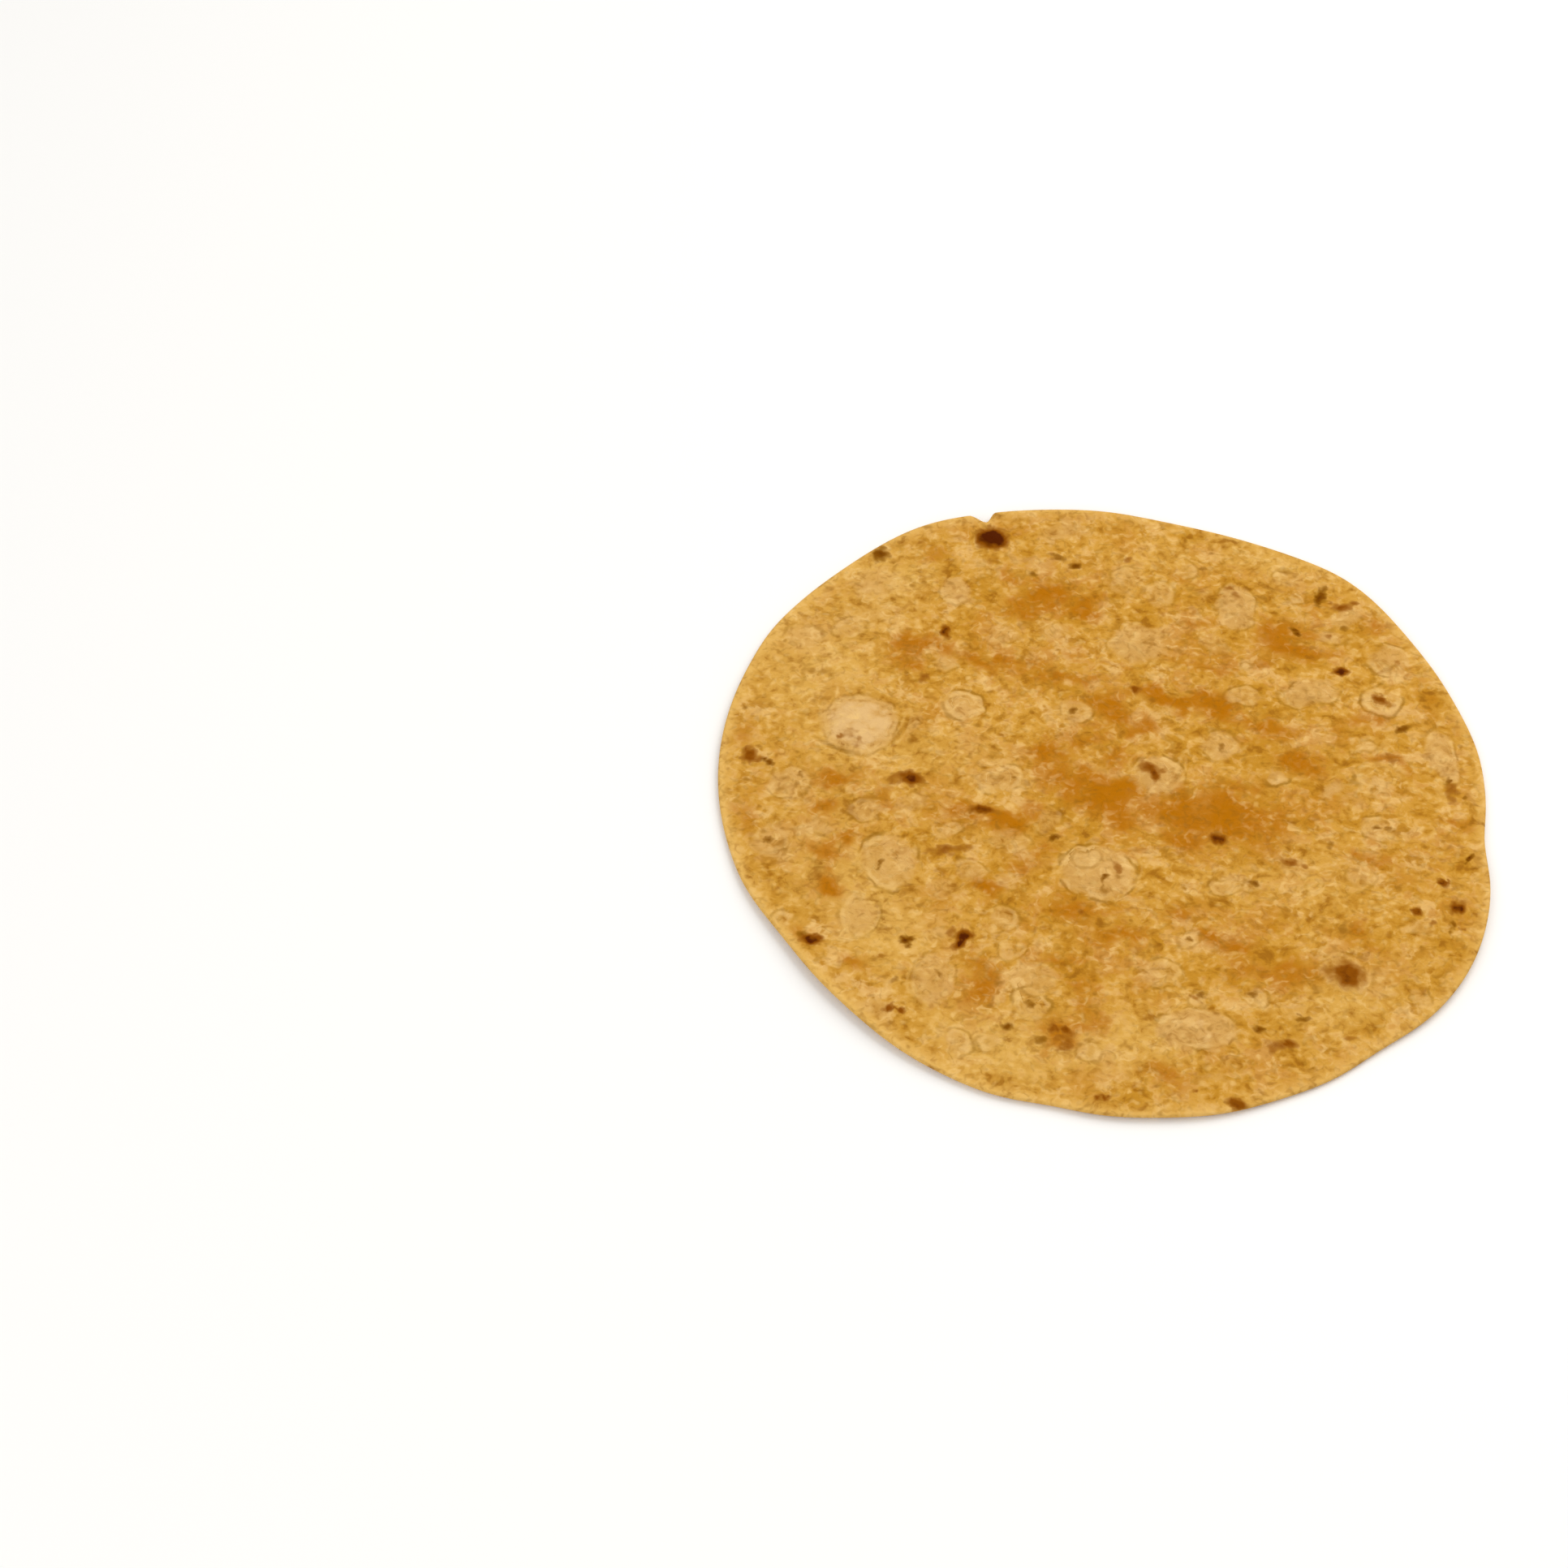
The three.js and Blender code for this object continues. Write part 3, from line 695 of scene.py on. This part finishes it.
def underside_face(outline: Outline, seed: int = 8) -> Face:
    """Draws the hidden face at random, in the same manner as the browned one.

    Args:
        outline: The rim, which keeps what is drawn on the dough.
        seed: Picks the random draw.

    Returns:
        The face that lies down.
    """
    draw = random.Random(seed)

    def drawn(kind: type, count: int, margin: float, half: tuple, **spans: Any) -> tuple:
        """Draws spots of one kind.

        Args:
            kind: Their class.
            count: How many.
            margin: How much further from the rim they keep.
            half: Limits of their half-length.
            spans: Limits of their other values, or what to choose them from.

        Returns:
            The spots.
        """
        spots = []
        for _ in range(count):
            around, share = math.radians(draw.uniform(0, 360)), math.sqrt(draw.random())
            reach = share * (outline.mean_radius - CLEAR_RIM - margin)
            x, y, long = reach * math.cos(around), reach * math.sin(around), draw.uniform(*half)
            wide, turn = long * draw.uniform(*NARROWER), draw.uniform(*TURNED)
            values = {
                name: draw.choice(span) if isinstance(span, list) else draw.uniform(*span)
                for name, span in spans.items()
            }
            spots.append(kind(x, y, long, wide, turn=turn, **values))
        return tuple(spots)

    puffed = {"rise": (0.1, 0.3), "ring": (0.0, 0.7)}
    return Face(
        blisters=drawn(Blister, 26, 8, (3.5, 9.0), strength=(0.35, 0.8), **puffed),
        marks=drawn(Mark, 70, 2, (0.9, 2.6), strength=(0.4, 1.0), tone=list(Tone)),
        browned=drawn(Spot, 52, 4, (4.0, 10.0), strength=(0.3, 0.75)),
        pale=drawn(Spot, 34, 4, (4.0, 9.0), strength=(0.3, 0.6)),
    )


# ---- finishes ----


class Pattern(Enum):
    """How a random pattern of the skin is made: drifting clouds, or rounded crumbs."""

    CLOUDS = "TexNoise"
    CRUMBS = "TexVoronoi"


@dataclass(frozen=True)
class Texture:
    """A random pattern of the skin, with patches of about its size in millimetres.

    It has finer layers by its detail, each as strong as its roughness says, and is twisted
    into curls.
    """

    size: float
    detail: float
    rough: float = 0.5
    curled: float = 0.0
    pattern: Pattern = Pattern.CLOUDS


@dataclass(frozen=True)
class Layer:
    """A tint laid over the skin where a field or a texture says.

    Attributes:
        source: Name of that field or texture.
        tint: Its colour, or the two that the olive field blends between.
        low: Value at which it starts to show.
        high: Value at which it shows most.
        most: Its greatest share of the colour.
        breaks: Textures that break up its edge, and by how much.
        only: Fields or textures, and the values between which each lets it show.
        line: If given, low and high are distances from this value.
    """

    source: str
    tint: str | tuple[str, str]
    low: float
    high: float
    most: float
    breaks: tuple[tuple[str, float], ...]
    only: tuple[tuple[str, float, float], ...] = ()
    line: float | None = None


# The fields that the mesh holds, by name, and the value that a texture has on the whole.
FIELDS = ("scorch", "olive", "toast", "fair", "pale", "crease", "edge", "ring", "rim")
MIDDLE = 0.5

# What the layers share: grain that breaks up their edges, and where some of them show.
COARSE_GRAIN = (("crumb", 0.3), ("speck", 0.2))
FINE_GRAIN = (("crumb", 0.2), ("speck", 0.1))
OFF_CROWNS = ("pale", 1.0, 0.82)
OFF_TOAST = ("toast", 0.95, 0.3)
AT_RINGS = ("ring", 0.0, 0.8)


@dataclass(frozen=True)
class GriddledDough:
    """Soft wheat-flour dough, rolled thin and baked dry on a hot griddle.

    Touching the iron turns the skin gold, and amber where it lay longest. Steam lifts
    blisters, whose crowns stay pale or, where they touched the iron, scorch to dark
    brown. The eye sees a matt skin with a crumbly mottle of one to four millimetres,
    short curly folds, and hardly any gloss, as flour on it scatters the light.

    Its layers are laid from the bottom one up on the gold of the skin. Its relief names
    textures that raise it, between which values and by how many millimetres. The mottle is
    longer along X by a share, as the dough was rolled out, and the crumbs melt into one
    another by theirs. Flour leaves little of the gloss, and the IOR is that of starch gel.
    """

    gold: str = "CF983C"
    textures: tuple[tuple[str, Texture], ...] = (
        ("curl", Texture(3.5, 3.0, 0.6, 0.4)),
        ("skin", Texture(2.5, 1.5, 0.5, 0.9)),
        ("crumb", Texture(2.2, 0.0, pattern=Pattern.CRUMBS)),
        ("speck", Texture(1.8, 0.5)),
        ("fold", Texture(4.2, 1.0, 0.5, 0.6)),
        ("cloud", Texture(15.0, 4.0, 0.55, 0.4)),
        ("patch", Texture(7.5, 3.0, 0.55, 0.3)),
    )
    layers: tuple[Layer, ...] = (
        Layer("patch", "BC811A", 0.5, 0.34, 0.68, (("curl", 0.35),)),
        Layer("patch", "E0B26C", 0.52, 0.68, 0.8, (("curl", 0.5),)),
        Layer("curl", "B57A1E", 0.5, 0.34, 0.7, COARSE_GRAIN),
        Layer("curl", "E6B566", 0.52, 0.68, 0.62, COARSE_GRAIN),
        Layer("cloud", "B87204", 0.5, 0.66, 0.55, (("curl", 0.6), ("crumb", 0.2))),
        Layer("fair", "E4B863", 0.0, 1.0, 0.7, (("curl", 0.5), ("crumb", 0.2))),
        Layer("toast", "B36B00", 0.0, 0.78, 0.95, (("curl", 0.9), ("cloud", 0.3), ("crumb", 0.3))),
        Layer("pale", "D2A25C", 0.2, 0.75, 0.78, (("curl", 0.6), ("crumb", 0.3))),
        Layer("pale", "E3BB80", 0.78, 1.05, 0.75, (("curl", 0.5), ("crumb", 0.3))),
        # Pale rim: partly the dough's own paler edge, partly a painted highlight along the rounded
        # edge.
        Layer("rim", "E4B561", 0.05, 1.0, 0.85, (("curl", 0.4), ("cloud", 1.2))),
        Layer("skin", "9A6010", 0.48, 0.28, 0.42, FINE_GRAIN, (("cloud", 0.36, 0.56), OFF_CROWNS)),
        Layer("skin", "F0C67E", 0.53, 0.72, 0.42, FINE_GRAIN, (OFF_TOAST, ("patch", 0.36, 0.56))),
        Layer(
            "fold", "895C11", 0.09, 0.0, 0.3, (("speck", 0.2),),
            (("speck", 0.48, 0.62), OFF_CROWNS), line=0.46,
        ),
        Layer("crumb", "94631A", 0.36, 0.1, 0.5, (("speck", 0.8),), (OFF_CROWNS,)),
        Layer("curl", "93590F", 0.36, 0.2, 0.6, (("crumb", 0.3), ("patch", 0.6)), (OFF_CROWNS,)),
        Layer("crumb", "EDC273", 0.58, 0.9, 0.32, (("speck", 0.8),), (OFF_TOAST,)),
        # Blister feet: a painted highlight just inside; a dark ring outside, part own colour, part
        # painted shade in the groove.
        Layer(
            "edge", "EEC680", 1.2, 0.2, 0.42, (("patch", 2.4), ("curl", 2.0)), (AT_RINGS,), line=-0.8
        ),
        Layer(
            "edge", "8F6216", 0.8, 0.1, 0.55, (("patch", 2.4), ("curl", 1.4)), (AT_RINGS,), line=0.45
        ),
        # Creases: a painted highlight on the lips, and a dark line, part own colour, part painted
        # shade in the groove.
        Layer("crease", "E8BB6D", 0.22, 0.05, 0.2, (("curl", 0.3),), line=0.25),
        Layer("crease", "8F5F10", 0.38, 1.0, 0.68, (("curl", 0.4),)),
        Layer("scorch", ("9D6117", "915D0A"), 0.12, 0.5, 0.8, (("curl", 0.6), ("speck", 0.7))),
        Layer("scorch", ("894901", "7D4700"), 0.42, 0.78, 0.95, (("curl", 0.5), ("speck", 0.5))),
        Layer("scorch", "4E1900", 0.76, 1.15, 0.95, (("curl", 0.6), ("speck", 0.5))),
    )
    relief: tuple[tuple[str, float, float, float], ...] = (
        ("curl", 0.2, 0.8, 0.24), ("skin", 0.3, 0.7, 0.08),
        ("crumb", 0.0, 0.8, 0.1), ("fold", 0.46, 0.53, 0.06),
    )
    roughness: float = 0.72
    ior: float = 1.4
    gloss: float = 0.03
    rolled: float = 1.15
    crumb_blend: float = 0.5
    crumb_top: float = 0.8

    def material(self) -> Material:
        """Makes the material.

        Returns:
            A node material that reads the fields which the mesh holds.
        """
        made = bpy.data.materials.new("griddled_dough")
        made.use_nodes = True
        made.node_tree.nodes.clear()
        place = add_node(made, "TexCoord", {}).outputs["Object"]
        longer = {"Vector": place, "Scale": (1 / self.rolled, 1.0, 1.0)}
        place = add_node(made, "Mapping", longer).outputs["Vector"]
        found = {n: add_node(made, "Attribute", {}, attribute_name=n).outputs["Fac"] for n in FIELDS}
        for name, texture in self.textures:
            found[name] = self.patterned(made, texture, place)
        colour: Any = linear_from_hex(self.gold)
        for layer in self.layers:
            colour = self.laid(made, layer, found, colour)
        height: Any = 0.0
        for name, low, high, reach in self.relief:
            spans = {"Value": found[name], "From Min": low, "From Max": high, "To Max": reach * MM}
            raised = add_node(made, "MapRange", spans, interpolation_type="SMOOTHSTEP").outputs[0]
            height = add_node(made, "Math", {0: raised, 1: height}, operation="ADD").outputs[0]
        bump = add_node(made, "Bump", {"Strength": 1.0, "Distance": 1.0, "Height": height})
        skin = {
            "Base Color": colour,
            "Roughness": self.roughness,
            "Normal": bump.outputs[0],
            "IOR": self.ior,
            "Specular IOR Level": self.gloss,
        }
        surface = add_node(made, "BsdfPrincipled", skin).outputs[0]
        add_node(made, "OutputMaterial", {"Surface": surface})
        return made

    def patterned(self, made: Material, texture: Texture, place: Socket) -> Socket:
        """Makes one random pattern.

        Args:
            made: The material.
            texture: What to make.
            place: Where on the dough it is read.

        Returns:
            Its value, about 0.5 on the whole.
        """
        inputs = {"Vector": place, "Scale": 1.0 / (texture.size * MM)}
        inputs |= {"Detail": texture.detail, "Roughness": texture.rough}
        if texture.pattern is Pattern.CLOUDS:
            inputs["Distortion"] = texture.curled
            return add_node(made, texture.pattern.value, inputs).outputs["Fac"]
        inputs["Smoothness"] = self.crumb_blend
        crumb = add_node(made, texture.pattern.value, inputs, feature="SMOOTH_F1", normalize=True)
        height = {0: self.crumb_top, 1: crumb.outputs["Distance"]}
        return add_node(made, "Math", height, operation="SUBTRACT").outputs[0]

    def laid(self, made: Material, layer: Layer, found: dict[str, Socket], under: Any) -> Socket:
        """Lays one tint over the colour so far.

        Args:
            made: The material.
            layer: What to lay.
            found: The fields and textures, by name.
            under: The colour so far.

        Returns:
            The colour with the tint on it.
        """
        amount = found[layer.source]
        for name, share in layer.breaks:
            centred = add_node(made, "Math", {0: found[name], 1: MIDDLE}, operation="SUBTRACT")
            broken = {0: centred.outputs[0], 1: share, 2: amount}
            amount = add_node(made, "Math", broken, operation="MULTIPLY_ADD").outputs[0]
        if layer.line is not None:
            off = add_node(made, "Math", {0: amount, 1: layer.line}, operation="SUBTRACT")
            amount = add_node(made, "Math", {0: off.outputs[0]}, operation="ABSOLUTE").outputs[0]
        spans = {"Value": amount, "From Min": layer.low, "From Max": layer.high}
        spans["To Max"] = layer.most
        share = add_node(made, "MapRange", spans, interpolation_type="SMOOTHSTEP").outputs[0]
        for name, low, high in layer.only:
            spans = {"Value": found[name], "From Min": low, "From Max": high}
            let = add_node(made, "MapRange", spans, interpolation_type="SMOOTHSTEP").outputs[0]
            share = add_node(made, "Math", {0: share, 1: let}, operation="MULTIPLY").outputs[0]
        if isinstance(layer.tint, str):
            tint: Any = linear_from_hex(layer.tint)
        else:
            red, green = (linear_from_hex(one) for one in layer.tint)
            toned = {0: found["olive"], 6: red, 7: green}
            tint = add_node(made, "Mix", toned, data_type="RGBA").outputs[2]
        laid = {0: share, 6: under, 7: tint}
        return add_node(made, "Mix", laid, data_type="RGBA").outputs[2]


@dataclass(frozen=True)
class WhiteLaminate:
    """White melamine laminate, pressed smooth: a plain pale table with a dull sheen."""

    white: str = "FAF9F7"
    roughness: float = 0.55

    def material(self) -> Material:
        """Makes the material.

        Returns:
            The table's material.
        """
        made = bpy.data.materials.new("white_laminate")
        made.use_nodes = True
        surface = made.node_tree.nodes["Principled BSDF"]
        surface.inputs["Base Color"].default_value = linear_from_hex(self.white)
        surface.inputs["Roughness"].default_value = self.roughness
        return made


# ---- the tortilla ----


@dataclass(frozen=True)
class Shell:
    """Part of the surface: X and Y of its points, their heights, and their fields."""

    points: Array
    heights: Array
    tints: dict[str, Array]


@dataclass
class Tortilla:
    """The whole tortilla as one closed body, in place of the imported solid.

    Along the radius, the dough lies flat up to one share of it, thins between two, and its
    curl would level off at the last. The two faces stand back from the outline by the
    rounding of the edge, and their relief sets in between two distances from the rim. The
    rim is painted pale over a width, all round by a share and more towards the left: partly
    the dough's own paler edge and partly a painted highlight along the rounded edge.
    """

    outline: Outline = Outline()
    middle_thickness: float = 2.0
    rim_thickness: float = 1.4
    thinning: tuple[float, float] = (0.78, 0.98)
    flat_share: float = 0.6
    curl_ends: float = 1.08
    rounding: float = 0.75
    lifts: tuple[Bell, ...] = (
        Bell(-142, 2.0, 24), Bell(-84, 0.9, 20), Bell(-26, 1.7, 22), Bell(34, 1.0, 20),
        Bell(98, 1.4, 22), Bell(162, 1.1, 20),
    )
    relief_fade: tuple[float, float] = (-0.5, 5.0)
    rim_width: float = 3.0
    rim_share: float = 0.6
    # The painted paleness and highlight of the rim grow towards the left.
    pale_rim_and_highlight: Bell = Bell(-160, 0.4, 75)
    top_rings: int = 150
    edge_steps: int = 8
    finish: GriddledDough = GriddledDough()

    def underside_height(self, shares: Array, angles: Array) -> Array:
        """Gives the height of the smooth underside, which curls up in waves at the rim."""
        lift = sum(swell.height(angles) for swell in self.lifts)
        return lift * smooth_step(shares, self.flat_share, self.curl_ends)

    def rim_paleness_and_highlight(self, angles: Array) -> Array:
        """Gives how pale the rim is painted in each direction: its own paler edge and a painted
        highlight.
        """
        return self.rim_share + self.pale_rim_and_highlight.height(angles)

    def thickness(self, shares: Array) -> Array:
        """Gives the thickness of the dough."""
        thinned = smooth_step(shares, *self.thinning)
        return self.middle_thickness + (self.rim_thickness - self.middle_thickness) * thinned

    def build(self) -> bpy.types.Object:
        """Builds the body and the fields that its finish reads.

        Returns:
            The new object, at rest in the row's frame.
        """
        top = RingGrid(self.top_rings, self.outline.nick_at)
        low = RingGrid(self.top_rings // 2, self.outline.nick_at)
        angles = top.angles()[-SECTORS * top.rings :]
        middle = self.outline.middle(angles)
        upper = self.side(top, toasted_face(), middle, upward=True)
        lower = self.side(low, underside_face(self.outline), middle, upward=False)
        shells = (upper, lower, self.rounded_edge(angles, middle, upper, lower))
        flat = np.concatenate([shell.points for shell in shells])
        heights = np.concatenate([shell.heights for shell in shells])
        vertices = np.column_stack([flat, heights]) * MM
        mesh = bpy.data.meshes.new("flour_tortilla")
        mesh.from_pydata(vertices.tolist(), [], self.faces(top, low).tolist())
        for name in FIELDS:
            values = np.concatenate([shell.tints[name] for shell in shells]).astype(np.float32)
            mesh.attributes.new(name, "FLOAT", "POINT").data.foreach_set("value", values)
        mesh.shade_smooth()
        mesh.validate()
        body = bpy.data.objects.new("flour_tortilla", mesh)
        bpy.context.scene.collection.objects.link(body)
        return body

    def side(self, grid: RingGrid, face: Face, middle: Array, upward: bool) -> Shell:
        """Lays out one face, up to where the rounded edge begins.

        Args:
            grid: Layout of its points.
            face: What heat has done to it.
            middle: Middle of the outline, seen from the pole.
            upward: Whether it is the upper face.

        Returns:
            The face with its relief.
        """
        shares, angles = grid.shares(), grid.angles()
        points = self.outline.points(shares, angles, self.rounding) - middle
        tints = face.tints(points)
        from_rim = (1.0 - shares) * self.outline.mean_radius
        # Pale rim on the face, fading inwards: its own paler edge and a painted highlight.
        tints["rim"] = np.exp(-from_rim / self.rim_width) * self.rim_paleness_and_highlight(angles)
        relief = face.relief(points, tints) * smooth_step(from_rim, *self.relief_fade)
        base = self.underside_height(shares, angles)
        if upward:
            return Shell(points, base + self.thickness(shares) + relief, tints)
        return Shell(points, np.maximum(base - relief, 0.0), tints)

    def rounded_edge(self, angles: Array, middle: Array, upper: Shell, lower: Shell) -> Shell:
        """Builds the rounded edge between the two faces.

        Args:
            angles: Directions of its points, one step round the rim.
            middle: Middle of the outline, seen from the pole.
            upper: The upper face.
            lower: The lower face, with half as many points round the rim.

        Returns:
            The edge, row by row from the upper face down.
        """
        around = len(angles)
        high, low = upper.heights[-around:], np.repeat(lower.heights[-around // 2 :], 2)
        low = (low + np.roll(low, -1)) / 2
        points, heights, scorch = [], [], []
        for step in range(1, self.edge_steps):
            turn = math.pi * (0.5 - step / self.edge_steps)
            back = self.rounding * (1.0 - math.cos(turn))
            points.append(self.outline.points(1.0, angles, back) - middle)
            heights.append((high + low) / 2 + (high - low) / 2 * math.sin(turn))
            scorch.append(upper.tints["scorch"][-around:] * (0.5 + 0.5 * math.sin(turn)))
        tints = {name: np.zeros(around * len(points)) for name in FIELDS}
        # The rounded edge is painted pale: its own paler edge and a painted highlight.
        tints["rim"] = np.tile(self.rim_paleness_and_highlight(angles), len(points))
        tints["edge"] += EDGE_REACH
        tints["scorch"] = np.concatenate(scorch)
        return Shell(np.concatenate(points), np.concatenate(heights), tints)

    def faces(self, top: RingGrid, low: RingGrid) -> Array:
        """Joins the faces and the edge into one closed body.

        Args:
            top: Layout of the upper face.
            low: Layout of the lower face, with half as many points round the rim.

        Returns:
            Three point numbers for each triangle, facing out.
        """
        top_count, low_count = top.inside(top.rings + 1), low.inside(low.rings + 1)
        step = np.arange(SECTORS * top.rings)
        rows = [top.inside(top.rings) + step]
        rows += [top_count + low_count + k * len(step) + step for k in range(self.edge_steps - 1)]
        bands = []
        for upper, lower in zip(rows, rows[1:]):
            bands.append((upper, lower, np.roll(lower, -1)))
            bands.append((upper, np.roll(lower, -1), np.roll(upper, -1)))
        coarse = top_count + low.inside(low.rings) + np.arange(len(step) // 2)
        even, odd, after = rows[-1][::2], rows[-1][1::2], np.roll(coarse, -1)
        bands += [(coarse, odd, even), (coarse, after, odd), (after, np.roll(even, -1), odd)]
        edge = (np.stack(band, axis=1) for band in bands)
        return np.concatenate([top.triangles(), top_count + low.triangles()[:, ::-1], *edge])

    def dress(self, body: bpy.types.Object) -> None:
        """Gives the body its finish and its place in the frame.

        Args:
            body: What build() made.
        """
        body.data.materials.append(self.finish.material())
        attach(body, "root")
        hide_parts("tortilla")


# ---- the studio ----


@dataclass(frozen=True)
class SoftLight:
    """A square soft box: where it hangs, its width in metres, its power and its colour."""

    name: str
    place: tuple[float, float, float]
    width: float
    watts: float
    colour: str = "FFFFFF"

    def hang(self) -> None:
        """Hangs the light so that it faces the middle of the tortilla."""
        light = bpy.data.lights.new(self.name, "AREA")
        light.shape = "SQUARE"
        light.size = self.width
        light.energy = self.watts
        light.color = linear_from_hex(self.colour)[:3]
        lamp = bpy.data.objects.new(self.name, light)
        lamp.location = self.place
        lamp.rotation_euler = (-Vector(self.place)).to_track_quat("-Z", "Y").to_euler()
        bpy.context.scene.collection.objects.link(lamp)


@dataclass
class Studio:
    """A pale table, soft light and the camera.

    The camera looks down on a point of the table from an elevation in degrees. The target,
    the distance, the lens, the sensor and the table's drop under the tortilla are in
    millimetres, and the table's width and what the camera sees are in metres.
    """

    target: tuple[float, float, float] = (-83.9, 4.4, 0.0)
    elevation: float = 55.0
    distance: float = 850.0
    lens: float = 73.65
    sensor: float = 36.0
    seen: tuple[float, float] = (0.01, 20.0)
    table: WhiteLaminate = WhiteLaminate()
    table_width: float = 6.0
    table_drop: float = 0.05
    lights: tuple[SoftLight, ...] = (
        SoftLight("key", (0.6, 0.62, 1.0), 1.2, 10.7, "FFFDF8"),
        SoftLight("fill", (-0.7, -0.7, 0.9), 1.2, 5.2),
    )
    sky: float = 0.575

    def lay_table(self) -> None:
        """Lays the table just under the tortilla."""
        half = self.table_width / 2
        mesh = bpy.data.meshes.new("table")
        corners = [(-half, -half, 0), (half, -half, 0), (half, half, 0), (-half, half, 0)]
        mesh.from_pydata(corners, [], [(0, 1, 2, 3)])
        mesh.materials.append(self.table.material())
        table = bpy.data.objects.new("table", mesh)
        table.location.z = -self.table_drop * MM
        bpy.context.scene.collection.objects.link(table)

    def light(self) -> None:
        """Hangs the soft boxes and turns on the even light all round."""
        for lamp in self.lights:
            lamp.hang()
        world = bpy.data.worlds.new("studio")
        world.use_nodes = True
        world.node_tree.nodes["Background"].inputs["Color"].default_value = (1, 1, 1, 1)
        world.node_tree.nodes["Background"].inputs["Strength"].default_value = self.sky
        bpy.context.scene.world = world

    def aim_camera(self) -> None:
        """Puts the camera where the photograph was taken from."""
        data = bpy.data.cameras.new("camera")
        data.lens, data.sensor_width = self.lens, self.sensor
        data.clip_start, data.clip_end = self.seen
        camera = bpy.data.objects.new("camera", data)
        rise = math.radians(self.elevation)
        back = Vector((0.0, -math.cos(rise), math.sin(rise)))
        camera.location = (Vector(self.target) + back * self.distance) * MM
        camera.rotation_euler = (-back).to_track_quat("-Z", "Y").to_euler()
        bpy.context.scene.collection.objects.link(camera)
        bpy.context.scene.camera = camera

    def build(self) -> None:
        """Sets up the whole studio, and plain colours without a film look."""
        self.lay_table()
        self.light()
        self.aim_camera()
        bpy.context.scene.view_settings.view_transform = "Standard"


def main() -> None:
    """Builds the tortilla and the studio, in that order."""
    logging.basicConfig(level=logging.INFO, format="%(name)s: %(message)s")
    tortilla = Tortilla()
    body = tortilla.build()
    tortilla.dress(body)
    log.info("%s: %d triangles", body.name, len(body.data.polygons))
    Studio().build()
    log.info("studio: table, soft boxes and camera")


if __name__ == "__main__":
    main()
